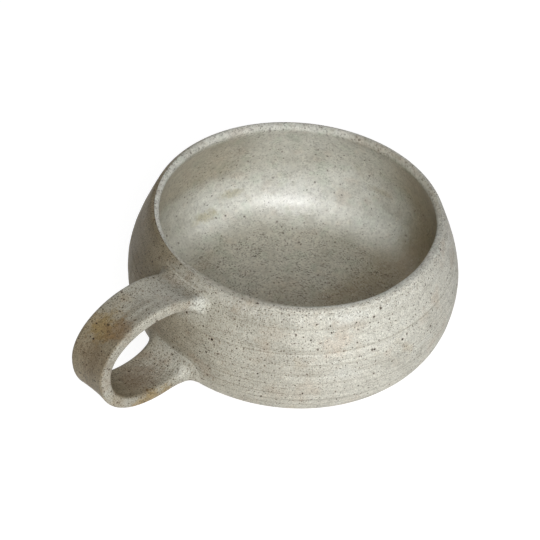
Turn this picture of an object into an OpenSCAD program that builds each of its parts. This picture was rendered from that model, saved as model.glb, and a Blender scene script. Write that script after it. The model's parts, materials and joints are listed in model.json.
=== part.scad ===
// Coffee mug: a thrown stoneware bowl with a pulled strap handle, glazed inside and out.
// Millimetres. The table is z = 0, the bowl turns about the z axis and the handle points along +x.
// Sizes are those of the finished mug, with its glaze on, unless a line says bare clay.

/* [Bowl] */
// Widest outside diameter
belly_d = 130; // [118:1:145]
// Height of the widest point above the table
belly_z = 31; // [27:0.5:36]
// Height of the rim above the table
height = 59; // [55:0.5:68]
// Outside diameter of the rim
rim_d = 114; // [104:1:120]
// Thickness of the rounded rim
rim_t = 3.6; // [3:0.1:5]
// Inward lean of the shoulder where it meets the rim, in degrees
rim_lean = 24; // [16:1:32]
// How far the wall keeps upright above the belly before it leans in
belly_rise = 8.4; // [5:0.2:11]
// How far the shoulder runs straight down from the rim
rim_run = 8.5; // [5:0.5:11]
// How far the wall keeps upright below the belly before it turns under
belly_drop = 28; // [22:0.5:29]
// How far the underside runs straight out from the foot
heel_run = 17; // [12:0.5:22]
// Upward slope of the underside where it leaves the foot, in degrees
heel_slope = 14; // [8:1:22]
// Thickness of the bare clay wall at the belly
wall_t = 3.8; // [3:0.1:5]
// Thickness of the bare clay floor
floor_t = 5; // [4:0.2:7]
// How far the inside keeps upright below the belly before it turns to the floor
inside_drop = 21; // [17:0.5:22]
// How far the inside floor runs level from the middle
floor_run = 50; // [42:1:52]

/* [Foot] */
// Outside diameter of the trimmed foot ring
foot_d = 62; // [54:1:70]
// Width of the foot ring
foot_ring_w = 6; // [4:0.5:9]
// Height of the foot ring below the outside of the bowl
foot_h = 2; // [1.2:0.1:3]
// Depth of the recess inside the foot ring
foot_recess = 1.8; // [1:0.1:3]
// Rounding of the edges of the foot ring
foot_edge = 0.7; // [0.3:0.1:0.9]

/* [Strap handle] */
// Distance from the rim down to the middle of the upper joint
upper_drop = 8; // [7:0.5:9.5]
// Upward slope of the strap where it leaves the upper joint, in degrees
upper_rise = 34; // [24:1:40]
// How far the strap runs straight out of the upper joint
upper_pull = 21; // [17:0.5:25]
// How far the strap runs straight down to its furthest point
bend_up = 15.5; // [11:0.5:18]
// Distance from the belly to the middle of the strap at its furthest point
reach = 37.3; // [32:0.1:42]
// Distance from the rim down to the furthest point
reach_drop = 19.5; // [16:0.5:23]
// How far the strap runs straight down from its furthest point
bend_down = 16.5; // [13:0.5:20]
// How far the strap runs straight into the lower joint
lower_pull = 24.5; // [20:0.5:28]
// Downward slope of the strap where it leaves the lower joint, in degrees
lower_fall = 16; // [8:1:22]
// Height of the middle of the lower joint above the table
lower_z = 20; // [17:0.5:23]
// Width of the strap at the upper joint
strap_w_top = 19.5; // [16:0.5:22]
// Width of the strap where it is narrowest
strap_w_waist = 17.5; // [14:0.5:20]
// Width of the strap at the lower joint
strap_w_low = 20; // [16:0.5:22]
// Thickness of the strap at its edges
strap_t = 5.2; // [4.4:0.1:6]
// Rounding of the edges of the bare clay strap
strap_edge = 1; // [0.6:0.1:1.4]
// Depth of the shallow groove along the middle of the outer face
strap_groove = 0.6; // [0:0.1:1]

/* [Joint coils] */
// Thickness of the slip between the handle and the wall
slip_t = 0.1; // [0.05:0.05:0.2]
// Distance the upper coil runs along the strap
upper_coil_run = 6; // [4:0.5:8]
// Distance the upper coil spreads up and down the wall
upper_coil_spread = 2.2; // [1.6:0.2:3.2]
// Distance the upper coil spreads to its sides
upper_coil_aside = 4.4; // [2:0.2:6]
// Distance the lower coil runs along the strap
lower_coil_run = 8; // [5:0.5:10]
// Distance the lower coil spreads up and down the wall
lower_coil_spread = 5.2; // [3:0.2:6]
// Distance the lower coil spreads to its sides
lower_coil_aside = 5.2; // [3:0.2:6]

/* [Glaze] */
// Thickness of the glaze
glaze_t = 0.4; // [0.25:0.05:0.6]
// Height of the bare clay band between the foot ring and the outside glaze
bare_band = 1; // [0.4:0.2:3]

/* [Hidden] */
// Steps along the bowl's curves, the rim, the small round edges, half of the strap and a coil's face
low_steps = 24;
top_steps = 14;
lip_steps = 6;
edge_steps = 4;
strap_steps = 18;
coil_steps = 5;
// Halvings when a point is looked for on a curve
halvings = 26;
// Place of the narrowest width along the strap, from 0 at the upper joint to 1 at the lower joint
waist_at = 0.6;

belly_r = belly_d / 2 - glaze_t;
foot_r = foot_d / 2;
foot_in_r = foot_r - foot_ring_w;
floor_z = foot_recess + floor_t;
inside_r = belly_r - wall_t;
upper_z = height - upper_drop;
reach_z = height - reach_drop;
glaze_line = foot_h + bare_band;
lip_mid = [rim_d / 2 - rim_t / 2, height - rim_t / 2];
lip_r = rim_t / 2 - glaze_t;
lean_out = [cos(rim_lean), sin(rim_lean)];
lean_up = [-sin(rim_lean), cos(rim_lean)];
shoulder_end = lip_mid + lip_r * lean_out;
throat_end = lip_mid - lip_r * lean_out;

// Control points of the four curves of the bare clay, as radius and height
outside_low = [
    [foot_r, foot_h],
    [foot_r, foot_h] + heel_run * [cos(heel_slope), sin(heel_slope)],
    [belly_r, belly_z - belly_drop],
    [belly_r, belly_z]
];
outside_top = [
    [belly_r, belly_z],
    [belly_r, belly_z + belly_rise],
    shoulder_end - rim_run * lean_up,
    shoulder_end
];
inside_top = [
    throat_end,
    throat_end - rim_run * lean_up,
    [inside_r, belly_z + belly_rise],
    [inside_r, belly_z]
];
inside_low = [
    [inside_r, belly_z],
    [inside_r, belly_z - inside_drop],
    [floor_run, floor_z],
    [0, floor_z]
];

// Point and direction on a cubic curve, from 0 to 1
function unit(v) = v / norm(v);
function cubic(p, t) =
    pow(1 - t, 3) * p[0] + 3 * pow(1 - t, 2) * t * p[1] + 3 * (1 - t) * t * t * p[2] + pow(t, 3) * p[3];
function cubic_dir(p, t) =
    unit(pow(1 - t, 2) * (p[1] - p[0]) + 2 * (1 - t) * t * (p[2] - p[1]) + t * t * (p[3] - p[2]));

// Place along a rising curve that has the height z
function place_at(p, z, low = 0, high = 1, left = halvings) =
    left == 0 ? (low + high) / 2 :
    cubic(p, (low + high) / 2)[1] < z ?
        place_at(p, z, (low + high) / 2, high, left - 1) :
        place_at(p, z, low, (low + high) / 2, left - 1);

// A stretch of the bowl's skin as rows of [radius, height, outward radius, outward height]
function stretch(p, from, first, steps) = [
    for (i = [first:steps])
        let (t = from + (1 - from) * i / steps, q = cubic(p, t), d = cubic_dir(p, t))
        [q[0], q[1], d[1], -d[0]]
];
function lip_arc(from, to, first) = [
    for (i = [first:lip_steps])
        let (a = from + (to - from) * i / lip_steps)
        [lip_mid[0] + lip_r * cos(a), lip_mid[1] + lip_r * sin(a), cos(a), sin(a)]
];
function outside_skin(from) = concat(
    stretch(outside_low, from, 0, low_steps),
    stretch(outside_top, 0, 1, top_steps),
    lip_arc(rim_lean, 90, 1)
);
inside_skin = concat(
    lip_arc(90, 180 + rim_lean, 0),
    stretch(inside_top, 0, 1, top_steps),
    stretch(inside_low, 0, 1, low_steps)
);
glazed_skin = outside_skin(place_at(outside_low, glaze_line));
function clay_points(skin) = [for (s = skin) [s[0], s[1]]];
function glaze_points(skin) = [for (s = skin) [s[0] + glaze_t * s[2], s[1] + glaze_t * s[3]]];
function backwards(list) = [for (i = [len(list) - 1:-1:0]) list[i]];
function without_first(list) = [for (i = [1:len(list) - 1]) list[i]];

// Rounded edge of the foot ring, a quarter turn about a middle at mid_r
function foot_arc(mid_r, from) = [
    for (i = [0:edge_steps])
        let (a = from + 90 * i / edge_steps)
        [mid_r + foot_edge * cos(a), foot_edge + foot_edge * sin(a)]
];

// Outside of the bare clay at a height: its radius, and the outward direction there
function wall_curve(z) = z < belly_z ? outside_low : outside_top;
function wall_z(z) = max(foot_h, min(shoulder_end[1], z));
function wall_place(z) = place_at(wall_curve(z), wall_z(z));
function wall_r(z) = cubic(wall_curve(z), wall_place(z))[0];
function wall_out(z) =
    let (d = cubic_dir(wall_curve(z), wall_place(z)))
    [d[1], -d[0]];

// The strap's middle line, as two curves in the x-z plane that meet at the furthest point
upper_start = [wall_r(upper_z), upper_z];
lower_start = [wall_r(lower_z), lower_z];
furthest = [belly_d / 2 + reach, reach_z];
upper_path = [
    upper_start,
    upper_start + upper_pull * [cos(upper_rise), sin(upper_rise)],
    furthest + [0, bend_up],
    furthest
];
lower_path = [
    furthest,
    furthest - [0, bend_down],
    lower_start + lower_pull * [cos(lower_fall), -sin(lower_fall)],
    lower_start
];
// A cubic curve leaves its end at three times the length of its first control
upper_first = upper_coil_run / (3 * upper_pull);
lower_last = 1 - lower_coil_run / (3 * lower_pull);

// One face of the bare strap with its two round edges, in a cross-section of half-width hw.
// Rows of [across, outward, direction across, direction outward].
clay_half_t = strap_t / 2 - glaze_t;
function strap_corner(mid, from) = [
    for (i = [0:edge_steps])
        let (a = from + 90 * i / edge_steps)
        [mid + strap_edge * cos(a), clay_half_t - strap_edge + strap_edge * sin(a), cos(a), sin(a)]
];
function strap_face(hw) = concat(
    strap_corner(hw - strap_edge, 0),
    [for (i = [1:edge_steps - 1]) [(hw - strap_edge) * (1 - 2 * i / edge_steps), clay_half_t, 0, 1]],
    strap_corner(strap_edge - hw, 90)
);
function grooved(s, hw) = [s[0], s[1] - strap_groove * (1 - pow(s[0] / hw, 2)), s[2], s[3]];
function inward(s) = [s[0], -s[1], s[2], -s[3]];
function section(hw) = concat(
    [for (s = strap_face(hw)) grooved(s, hw)],
    [for (s = backwards(strap_face(hw))) inward(s)]
);
around = len(section(strap_w_waist / 2));

// Half-width of the bare strap at a place from 0 at the upper joint to 1 at the lower joint
function eased(end_w, share) = (strap_w_waist + (end_w - strap_w_waist) * share * share) / 2 - glaze_t;
function half_w(u) = u < waist_at ?
    eased(strap_w_top, 1 - u / waist_at) :
    eased(strap_w_low, (u - waist_at) / (1 - waist_at));

// Rings of points around the strap, between the ends of the two coils
function strap_ring(p, t, u) =
    let (q = cubic(p, t), d = cubic_dir(p, t))
    [for (s = section(half_w(u))) [q[0] - d[1] * s[1], s[0], q[1] + d[0] * s[1]]];
upper_rings = [
    for (i = [0:strap_steps])
        let (t = upper_first + (1 - upper_first) * i / strap_steps)
        strap_ring(upper_path, t, t / 2)
];
lower_rings = [
    for (i = [1:strap_steps])
        let (t = lower_last * i / strap_steps)
        strap_ring(lower_path, t, (1 + t) / 2)
];
free_rings = concat(upper_rings, lower_rings);
last_ring = free_rings[len(free_rings) - 1];

// Feet of the strap: the lines of its end rings run on until they reach the slip on the wall
function past_wall(q) = norm([q[0], q[1]]) - slip_t - wall_r(q[2]);
function land(q, dir, near, far, left = halvings) =
    let (mid = (near + far) / 2)
    left == 0 ? q + mid * dir :
    past_wall(q + mid * dir) > 0 ? land(q, dir, mid, far, left - 1) : land(q, dir, near, mid, left - 1);
function landed(ring, d) = [for (q = ring) land(q, [d[0], 0, d[1]], 0, reach)];
upper_dir = -cubic_dir(upper_path, upper_first);
lower_dir = cubic_dir(lower_path, lower_last);
upper_foot = landed(free_rings[0], upper_dir);
lower_foot = landed(last_ring, lower_dir);
strap_rings = concat([upper_foot], free_rings, [lower_foot]);

// Edge of a coil, as seen along the handle: the strap's foot with a margin all round
function coil_edge(foot, sect, up, spread, aside) = [
    for (j = [0:around - 1])
        [foot[j][1] + aside * sect[j][2], wall_z(foot[j][2] + spread * sect[j][3] * up)]
];
upper_edge = coil_edge(upper_foot, section(half_w(0)), -upper_dir[0], upper_coil_spread, upper_coil_aside);
lower_edge = coil_edge(lower_foot, section(half_w(1)), lower_dir[0], lower_coil_spread, lower_coil_aside);

// The same edge laid on the wall, lifted off the bare clay
function laid(edge, lift) = [
    for (e = edge)
        let (r = wall_r(e[1]) + lift / wall_out(e[1])[0])
        [sqrt(r * r - e[0] * e[0]), e[0], e[1]]
];

// Rows of a coil's hollow face, from its edge on the wall to the strap
function coil_row(edge, foot, ring, s) = [
    for (j = [0:around - 1])
        (1 - s) * (1 - s) * edge[j] + 2 * s * (1 - s) * foot[j] + s * s * ring[j]
];
function coil_rows(edge, foot, ring) = [
    for (k = [0:coil_steps]) coil_row(edge, foot, ring, k / coil_steps)
];
upper_coil_rows = coil_rows(laid(upper_edge, slip_t), upper_foot, free_rings[0]);
lower_coil_rows = coil_rows(laid(lower_edge, slip_t), lower_foot, last_ring);

// Rows of the whole bare handle, from wall to wall, and the same rows on top of the glaze
handle_rows = concat(
    upper_coil_rows,
    [for (i = [1:len(free_rings) - 2]) free_rings[i]],
    backwards(lower_coil_rows)
);
function row_out(rows, i, j) =
    let (next = rows[i][(j + 1) % around], last = rows[i][(j + around - 1) % around])
    unit(cross(next - last, rows[i + 1][j] - rows[i - 1][j]));
glazed_rows = concat(
    [laid(upper_edge, glaze_t)],
    [for (i = [1:len(handle_rows) - 2])
        [for (j = [0:around - 1]) handle_rows[i][j] + glaze_t * row_out(handle_rows, i, j)]],
    [laid(lower_edge, glaze_t)]
);

// Faces between rows of points, each row closed on itself
function flat(rows) = [for (r = rows) each r];
function band_faces(a, b) = [
    for (j = [0:around - 1])
        let (k = (j + 1) % around)
        each [[a + j, b + j, a + k], [a + k, b + j, b + k]]
];
function tube_faces(count) = [for (i = [0:count - 2]) each band_faces(i * around, (i + 1) * around)];
function loop_faces(count) = concat(tube_faces(count), band_faces((count - 1) * around, 0));

// Faces that close a row, in strips from its outer face to its inner face
function cap_faces(base) = [
    for (j = [0:around / 2 - 2])
        let (a = base + j, b = base + j + 1, c = base + around - 2 - j, d = base + around - 1 - j)
        each [[a, b, d], [b, c, d]]
];
function flipped(faces) = [for (f = faces) [f[0], f[2], f[1]]];

// Clay of the bowl, wheel-thrown, with a foot ring trimmed underneath
module thrown_bowl()
    color("#b9a68d")
    rotate_extrude()
        polygon(concat(
            clay_points(outside_skin(0)),
            clay_points(without_first(inside_skin)),
            [[0, foot_recess], [foot_in_r, foot_recess]],
            foot_arc(foot_in_r + foot_edge, 180),
            foot_arc(foot_r - foot_edge, 270)
        ));

// Clay of the handle, a pulled strap whose two ends are cut to the wall
module strap_handle()
    color("#b29d83")
    polyhedron(
        points = flat(strap_rings),
        faces = concat(
            tube_faces(len(strap_rings)),
            cap_faces(0),
            flipped(cap_faces((len(strap_rings) - 1) * around))
        )
    );

// Coil of clay worked all round into the corner between the strap and the wall
module joint_coil(rows)
    polyhedron(points = flat(rows), faces = loop_faces(len(rows)));

module upper_joint()
    color("#a8947b")
    joint_coil(concat([upper_foot], upper_coil_rows));

module lower_joint()
    color("#a8947b")
    joint_coil(concat(backwards(lower_coil_rows), [lower_foot]));

// Liner glaze, from the top of the rim down over the floor
module inside_glaze()
    color("#c9c3b4")
    rotate_extrude()
        polygon(concat(glaze_points(inside_skin), backwards(clay_points(inside_skin))));

// Block through the wall's own glaze, where a joint stands on bare clay
module joint_block(edge)
    rotate([90, 0, 90])
    linear_extrude(belly_d)
        polygon(edge);

// Outside glaze on the wall, from the top of the rim down to the bare band
module outside_glaze()
    color("#cdc6b6")
    difference() {
        rotate_extrude()
            polygon(concat(glaze_points(glazed_skin), backwards(clay_points(glazed_skin))));
        joint_block(upper_edge);
        joint_block(lower_edge);
    }

// Outside glaze over the strap and its two coils
module handle_glaze()
    color("#c4bba9")
    polyhedron(
        points = concat(flat(glazed_rows), flat(backwards(handle_rows))),
        faces = loop_faces(2 * len(handle_rows))
    );

thrown_bowl();
strap_handle();
upper_joint();
lower_joint();
inside_glaze();
outside_glaze();
handle_glaze();
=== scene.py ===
import json
import math

import bpy
import numpy as np
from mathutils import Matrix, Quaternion, Vector

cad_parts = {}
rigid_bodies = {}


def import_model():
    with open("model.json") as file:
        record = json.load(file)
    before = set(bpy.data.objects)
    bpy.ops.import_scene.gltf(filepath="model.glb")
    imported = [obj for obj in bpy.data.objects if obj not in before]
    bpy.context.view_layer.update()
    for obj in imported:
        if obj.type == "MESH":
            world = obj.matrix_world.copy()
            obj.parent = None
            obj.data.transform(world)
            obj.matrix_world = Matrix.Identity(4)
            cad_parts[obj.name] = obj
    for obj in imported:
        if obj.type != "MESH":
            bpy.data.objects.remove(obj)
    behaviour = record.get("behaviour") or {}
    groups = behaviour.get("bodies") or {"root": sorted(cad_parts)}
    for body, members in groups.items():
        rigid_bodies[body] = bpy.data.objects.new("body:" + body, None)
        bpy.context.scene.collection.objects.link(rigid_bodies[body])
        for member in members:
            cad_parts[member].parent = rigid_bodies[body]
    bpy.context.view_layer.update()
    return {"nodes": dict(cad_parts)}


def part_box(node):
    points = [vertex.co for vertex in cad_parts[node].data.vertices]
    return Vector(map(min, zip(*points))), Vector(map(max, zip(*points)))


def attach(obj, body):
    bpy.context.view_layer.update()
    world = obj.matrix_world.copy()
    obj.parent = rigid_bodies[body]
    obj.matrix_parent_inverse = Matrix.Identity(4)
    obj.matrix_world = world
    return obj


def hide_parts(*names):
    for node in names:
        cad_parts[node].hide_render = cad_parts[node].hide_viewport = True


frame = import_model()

mm = 0.001
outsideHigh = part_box("outside_glaze")[1]
print("frame loaded:", len(frame["nodes"]), "nodes")

# camera, at the photograph's viewing angle
shot = {
    "azimuth": 42.0,  # degrees round from the handle
    "elevation": 41.44,
    "roll": 5.49,
    "aimHeight": 29.0,  # mm
    "distance": 680.0,  # mm
    "lens": 115.0,
    "shift": (-0.043, -0.0038),
}


def fromMug(azimuth, elevation):  # direction out from the mug
    a, e = math.radians(azimuth), math.radians(elevation)
    return Vector((math.cos(a) * math.cos(e), math.sin(a) * math.cos(e), math.sin(e)))


aim = Vector((0, 0, shot["aimHeight"] * mm))
sceneObjects = bpy.context.scene.collection.objects
camera = bpy.data.objects.new("camera", bpy.data.cameras.new("camera"))
sceneObjects.link(camera)
bpy.context.scene.camera = camera
back = fromMug(shot["azimuth"], shot["elevation"])
camera.location = aim + back * shot["distance"] * mm
camera.rotation_mode = "QUATERNION"
towardsMug = (-back).to_track_quat("-Z", "Y")
camera.rotation_quaternion = towardsMug @ Quaternion((0, 0, 1), math.radians(shot["roll"]))
camera.data.lens = shot["lens"]
camera.data.shift_x, camera.data.shift_y = shot["shift"]
print("camera placed")

# the thrown bowl, in mm, measured over the glaze unless marked
bowl = {
    "bellyR": outsideHigh.y / mm,
    "height": outsideHigh.z / mm,
    "bellyZ": 31.0,
    "rimR": 57.0,
    "rimT": 3.6,
    "rimLean": 24.0,  # degrees
    "bellyRise": 8.4,  # pull on the curve above the belly
    "rimRun": 8.5,  # pull under the rim
    "bellyDrop": 28.0,  # pull under the belly
    "heelRun": 17.0,  # pull out from the foot
    "heelSlope": 14.0,  # degrees
    "wallT": 3.8,  # clay
    "floorZ": 6.8,  # clay
    "insideDrop": 21.0,  # pull under the belly, inside
    "floorRun": 50.0,  # pull out from the middle of the floor
    "footR": 31.0,
    "footRingW": 6.0,
    "footH": 2.0,
    "footRecess": 1.8,
    "footEdge": 0.7,
    "glazeT": 0.4,
    "glazeLine": 3.0,  # height where the outside glaze stops
    "step": 0.33,  # between points along the outside
    "insideStep": 0.45,
    "backStep": 3.0,  # on the hidden side of the glaze
    "backRun": 50.0,  # taken as its distance from the lip
    "turn": 300,  # points round the bowl
    "curvePoints": 1200,  # on each curve, before they are spaced evenly
    "sharpFrom": 50.0,  # degrees, for an edge that stays crisp
}
tiny = 1e-6  # mm


def curve(corners, at):  # cubic curve from the first corner to the last, pulled by the two between
    t = np.asarray(at, float)[:, None]
    a, b, c, d = corners
    return (1 - t) ** 3 * a + 3 * (1 - t) ** 2 * t * b + 3 * (1 - t) * t * t * c + t ** 3 * d


def curveWay(corners, at):  # direction along that curve
    t = np.asarray(at, float)[:, None]
    a, b, c, d = corners
    way = (1 - t) ** 2 * (b - a) + 2 * (1 - t) * t * (c - b) + t * t * (d - c)
    return way / np.linalg.norm(way, axis=1)[:, None]


def arc(middle, radius, start, end, count=200):
    a = np.radians(np.linspace(start, end, count))
    return np.c_[middle[0] + radius * np.cos(a), middle[1] + radius * np.sin(a)]


def evenly(points, step):  # the same line with its points a step apart
    gaps = np.hypot(*np.diff(points, axis=0).T)
    points = points[np.r_[True, gaps > tiny]]
    run = np.r_[0, np.cumsum(gaps[gaps > tiny])]
    at = np.linspace(0, run[-1], int(round(run[-1] / step)) + 1)
    return np.c_[np.interp(at, run, points[:, 0]), np.interp(at, run, points[:, 1])], at


def outward(points):  # square to a section line that runs up the outside and down the inside
    d = np.gradient(points, axis=0)
    return np.c_[d[:, 1], -d[:, 0]] / np.linalg.norm(d, axis=1)[:, None]


def tilted(length, degrees):
    return length * np.array([math.cos(math.radians(degrees)), math.sin(math.radians(degrees))])


whole = np.linspace(0, 1, bowl["curvePoints"])
clayR = bowl["bellyR"] - bowl["glazeT"]
insideR = clayR - bowl["wallT"]
lipR = bowl["rimT"] / 2 - bowl["glazeT"]
lipMid = np.array([bowl["rimR"], bowl["height"]]) - bowl["rimT"] / 2
leanOut, leanUp = tilted(1, bowl["rimLean"]), tilted(1, bowl["rimLean"] + 90)
foot = np.array([bowl["footR"], bowl["footH"]])
belly, bellyIn = np.array([clayR, bowl["bellyZ"]]), np.array([insideR, bowl["bellyZ"]])
shoulder, throat = lipMid + lipR * leanOut, lipMid - lipR * leanOut
heelPull = foot + tilted(bowl["heelRun"], bowl["heelSlope"])
lowOutside = [foot, heelPull, belly - [0, bowl["bellyDrop"]], belly]
topOutside = [belly, belly + [0, bowl["bellyRise"]], shoulder - bowl["rimRun"] * leanUp, shoulder]
topInside = [throat, throat - bowl["rimRun"] * leanUp, bellyIn + [0, bowl["bellyRise"]], bellyIn]
lowInside = [
    bellyIn,
    bellyIn - [0, bowl["insideDrop"]],
    np.array([bowl["floorRun"], bowl["floorZ"]]),
    np.array([0, bowl["floorZ"]]),
]
outsideClay = np.vstack([
    curve(lowOutside, whole),
    curve(topOutside, whole),
    arc(lipMid, lipR, bowl["rimLean"], 90),
])
insideClay = np.vstack([
    arc(lipMid, lipR, 90, 180 + bowl["rimLean"]),
    curve(topInside, whole),
    curve(lowInside, whole),
])
theta = np.arange(bowl["turn"]) * 2 * np.pi / bowl["turn"]
share = theta[None, :] / (2 * np.pi)  # of a full turn
sideways, handleHalf = np.sin(theta)[None, :], np.cos(theta)[None, :] > 0


def softNoise(seed, u, v, lobes):  # smooth random values from -1 to 1, which close on themselves in v
    u, v = np.broadcast_arrays(u - u.min(), v * lobes)
    grid = np.random.default_rng(seed).uniform(-1, 1, (int(u.max()) + 2, lobes))
    row, column = np.floor(u).astype(int), np.floor(v).astype(int)
    a, b = u - row, v - column
    a, b = a * a * (3 - 2 * a), b * b * (3 - 2 * b)
    column, following = column % lobes, (column + 1) % lobes
    here = grid[row, column] * (1 - b) + grid[row, following] * b
    there = grid[row + 1, column] * (1 - b) + grid[row + 1, following] * b
    return here * (1 - a) + there * a


def smooth(x, low, high):
    t = np.clip((x - low) / (high - low), 0, 1)
    return t * t * (3 - 2 * t)


def rising(x, amount, low, high):
    return amount * smooth(x, low, high)


def falling(x, amount, low, high):
    return amount * (1 - smooth(x, low, high))


def makePiece(name, points, faces, shades, node):
    mesh = bpy.data.meshes.new(name)
    mesh.from_pydata((points * mm).tolist(), [], faces)
    mesh.shade_smooth()
    mesh.set_sharp_from_angle(angle=math.radians(bowl["sharpFrom"]))
    for shade, values in shades.items():
        layer = mesh.attributes.new(shade, "FLOAT", "POINT")
        layer.data.foreach_set("value", values.astype(np.float32).ravel())
    piece = bpy.data.objects.new(name, mesh)
    sceneObjects.link(piece)
    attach(piece, "root")
    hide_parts(node)
    print(name, len(points), "points", len(faces), "faces")
    return piece


# a hand-thrown wall is a little out of round, least at the handle, and its rim a little uneven
uneven = {
    "narrower": 0.001,  # share of the radius
    "narrowFrom": 8.0,  # height in mm
    "narrowTurn": 0.6,  # radians
    "lower": 0.16,  # mm
    "lowerFrom": 30.0,  # height in mm
    "lowerTurn": 1.1,  # radians
}


def sway(points):
    turnAt = np.arctan2(points[:, 1], points[:, 0])
    far = (1 - np.cos(turnAt)) / 2
    up = smooth(points[:, 2], uneven["narrowFrom"], bowl["height"])
    rim = smooth(points[:, 2], uneven["lowerFrom"], bowl["height"])
    narrow = 1 - far * up * uneven["narrower"] * (1 + np.cos(2 * turnAt + uneven["narrowTurn"]))
    down = far * rim * uneven["lower"] * (1 + np.cos(3 * turnAt + uneven["lowerTurn"]))
    return np.c_[points[:, 0] * narrow, points[:, 1] * narrow, points[:, 2] - down]


def revolve(section, lift):  # a closed section of radius and height, and how far each row stands out
    normal = outward(section)
    radius = section[:, :1] + lift * normal[:, :1]
    height = section[:, 1:] + lift * normal[:, 1:]
    count = bowl["turn"]
    points, rings, start = [], [], 0
    for r, z, base in zip(radius, height, section[:, 0]):
        if base < tiny:  # on the axis
            points.append([[0, 0, z.mean()]])
            rings.append(np.full(count, start))
            start += 1
        else:
            points.append(np.c_[r * np.cos(theta), r * np.sin(theta), z])
            rings.append(np.arange(start, start + count))
            start += count
    faces = []
    for one, two in zip(rings, rings[1:] + rings[:1]):
        if one[0] == one[1] and two[0] == two[1]:
            continue
        quad = np.c_[one, np.roll(one, -1), np.roll(two, -1), two]
        if one[0] == one[1]:
            quad = quad[:, [0, 2, 3]]
        elif two[0] == two[1]:
            quad = quad[:, [0, 1, 2]]
        faces += quad.tolist()
    return sway(np.vstack(points)), faces, [len(p) for p in points]


def spread(values, counts):  # one value per row, or one per point of a row, for every point
    rows = [np.broadcast_to(v, (n,)) if n > 1 else [np.mean(v)] for v, n in zip(values, counts)]
    return np.concatenate(rows)


def coat(name, clay, step, lipAt, lift, shades, node):
    # a closed skin of glaze on a line of clay, with its lift from the even thickness and its shades
    line, run = evenly(clay, step)
    fromLip = np.abs(run - run[lipAt])
    skin = line + bowl["glazeT"] * outward(line)
    behind = evenly(clay, bowl["backStep"])[0][::-1]
    pad = np.zeros((len(behind), bowl["turn"]))
    points, faces, counts = revolve(np.vstack([skin, behind]), np.vstack([lift(skin, fromLip), pad]))
    values = {"run": spread(np.r_[fromLip, np.full(len(behind), bowl["backRun"])], counts)}
    for shade, shadeOf in shades.items():
        rows = np.broadcast_to(shadeOf(skin, fromLip), (len(skin), bowl["turn"]))
        values[shade] = spread(np.vstack([rows, pad]), counts)
    return makePiece(name, points, faces, values, node)


# turning lines, fine ridges left by the rib and the trimming tool, in mm
turning = {
    "outsideSeed": 21,
    "insideSeed": 51,
    "fineGap": 0.95,  # between lines
    "fineLobes": 6,  # changes round the turn
    "fineShare": 0.36,
    "wideGap": 2.6,
    "wideLobes": 4,
    "wideShare": 0.12,
    "wander": 0.35,  # share of a gap
    "lowDepth": 0.16,  # on the lower outside
    "topDepth": 0.045,
    "topFrom": (32.0, 46.0),  # heights
    "clearLip": (0.5, 2.5),  # kept smooth at the lip
    "clearLine": (0.5, 2.0),  # and where the glaze stops
    "insideDepth": 0.05,
    "insideStretch": 1.7,
    "insideClear": (0.5, 4.0),
    "feet": [(15.0, 52.0, 9.0), (18.0, 18.0, 11.0)],  # half width, height, half height of the smoothed clay
    "cuts": [  # height, tilt and strength of the plainest ones
        (43.2, 1.85, 1.2), (39.6, 1.0, 0.5), (35.5, 0.4, 0.9),
        (31.2, 0.5, 0.5), (27.2, 0.3, 0.9), (22.6, 0.3, 0.7),
    ],
    "cutSeed": 71,
    "cutRun": 6.0,  # up the wall, between changes of strength
    "cutLobes": 7,
    "cutGaps": 0.25,  # share that a cut loses and gains
    "cutLeans": 1.0,  # radians round, where its tilt starts
    "cutWidth": 0.45,
    "cutDepth": 0.11,
    "cutEdge": 0.05,  # raised beside a cut
    "jointLine": {"height": 56.0, "width": 0.6, "depth": 0.3, "fades": (9.0, 14.0)},
}


def ridges(fromLip, seed, stretch=1.0):
    wander = turning["wander"] * softNoise(seed, np.zeros((1, 1)), share, turning["wideLobes"])
    fineAt = fromLip[:, None] / (turning["fineGap"] * stretch) + wander
    wideAt = fromLip[:, None] / (turning["wideGap"] * stretch) + wander
    fineLines = softNoise(seed + 1, fineAt, share, turning["fineLobes"])
    wideLines = softNoise(seed + 2, wideAt, share, turning["wideLobes"])
    return 0.5 + turning["fineShare"] * fineLines + turning["wideShare"] * wideLines


def nearJoint(skin, aside=0.0, size=1.0, stays=0.9, fades=1.5):  # 1 beside the handle's feet
    y = skin[:, :1] * sideways - aside
    away = []
    for wide, middle, tall in turning["feet"]:
        away.append(np.hypot(y / (wide * size), (skin[:, 1:] - middle) / (tall * size)))
    return np.where(handleHalf, 1 - smooth(np.minimum(*away), stays, fades), 0)


def cutLines(skin, below=0.0):
    z = skin[:, 1:]
    lean = np.sin(theta - turning["cutLeans"])[None, :]
    broken = softNoise(turning["cutSeed"], z / turning["cutRun"], share, turning["cutLobes"])
    broken = (1 - turning["cutGaps"] + turning["cutGaps"] * broken) * (1 - nearJoint(skin))
    lines = 0
    for height, tilt, strength in turning["cuts"]:
        away = (z - height - tilt * lean + below) / turning["cutWidth"]
        lines = lines + strength * np.exp(-away ** 2)
    return broken * lines


def jointLine(skin):  # smoothed in above the handle
    line = turning["jointLine"]
    aside = np.abs(skin[:, :1] * sideways)
    across = np.exp(-((skin[:, 1:] - line["height"]) / line["width"]) ** 2)
    return handleHalf * across * (1 - smooth(aside, *line["fades"]))


def outsideGroove(skin, fromLip):
    lines = np.maximum(cutLines(skin), jointLine(skin))
    return np.maximum(ridges(fromLip, turning["outsideSeed"]) * (1 - nearJoint(skin)), lines)


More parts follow.
